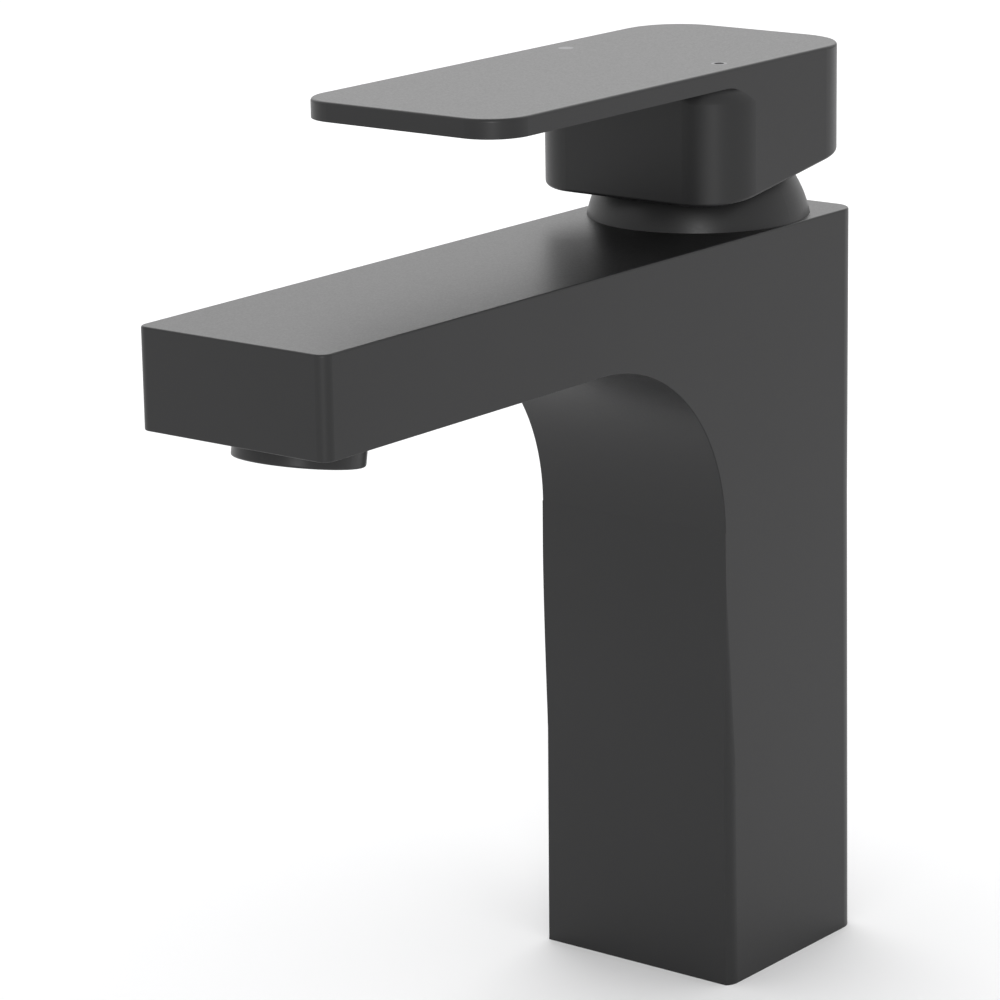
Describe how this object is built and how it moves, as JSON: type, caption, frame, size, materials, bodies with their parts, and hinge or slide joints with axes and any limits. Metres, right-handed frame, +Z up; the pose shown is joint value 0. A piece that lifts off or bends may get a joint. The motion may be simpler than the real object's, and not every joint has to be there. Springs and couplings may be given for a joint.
{
  "type": "basin mixer tap",
  "caption": "Single-lever basin mixer: square column, flat straight spout with a swept arch, dome and block lever, ceramic disc cartridge inside.",
  "frame": {"origin": "mouth of the fixing-stud hole, in the middle of the column's base, on the deck", "axes": "+Z up along the column and the cartridge; the spout points along -Y; hot on the -X side, cold on the +X side"},
  "size_m": [0.0474, 0.1603, 0.1821],
  "materials": {
    "body_coating": "satin-matt black coating on cast brass",
    "dome_coating": "satin-matt black coating on brass",
    "lever_coating": "satin-matt black coating on cast zinc",
    "aerator_coating": "satin-matt black coating on turned brass",
    "rubber": "matt moulded rubber",
    "white_plastic": "moulded acetal",
    "grey_plastic": "moulded acetal",
    "red_plastic": "moulded acetal",
    "black_plastic": "moulded, matt",
    "ceramic": "lapped alumina",
    "brass": "turned, bare",
    "stainless": "bright drawn",
    "mark_enamel": "enamel fill"
  },
  "bodies": {
    "faucet": {"body": "body_coating", "base_seal": "rubber", "cartridge_housing": "white_plastic", "housing_seal_ring": "rubber", "cartridge_base": "white_plastic", "port_seals": "rubber", "fixed_disc": "ceramic", "temperature_limit_ring": "red_plastic", "retaining_nut": "brass", "dome_seal_ring": "rubber", "dome_cover": "dome_coating", "aerator_housing": "aerator_coating", "aerator_insert": "grey_plastic", "aerator_screen": "stainless", "aerator_washer": "rubber"},
    "rotor": {"cartridge_rotor": "grey_plastic", "rotor_seal_ring": "rubber", "stem_pin": "stainless"},
    "slide": {"disc_carrier": "grey_plastic", "moving_disc": "ceramic"},
    "lever": {"cartridge_stem": "stainless", "lever_handle": "lever_coating", "stem_sleeve": "grey_plastic", "grub_screw": "stainless", "screw_cap": "black_plastic", "hot_mark": "mark_enamel", "cold_mark": "mark_enamel"}
  },
  "joints": [
    {"name": "lever_turn", "type": "hinge", "parent": "faucet", "child": "rotor", "pos_m": [0, 0, 0.1446], "axis": [0, 0, 1], "range_deg": [-45, 45]},
    {"name": "lever_lift", "type": "hinge", "parent": "rotor", "child": "lever", "pos_m": [0, 0, 0.1446], "axis": [-1, 0, 0], "range_deg": [0, 25]},
    {"name": "disc_slide", "type": "slide", "parent": "rotor", "child": "slide", "axis": [0, -1, 0], "range_m": [0, 0.00424]}
  ],
  "couplings": [
    {"joint": "disc_slide", "follows": "lever_lift", "m_per_rad": 0.009686}
  ]
}
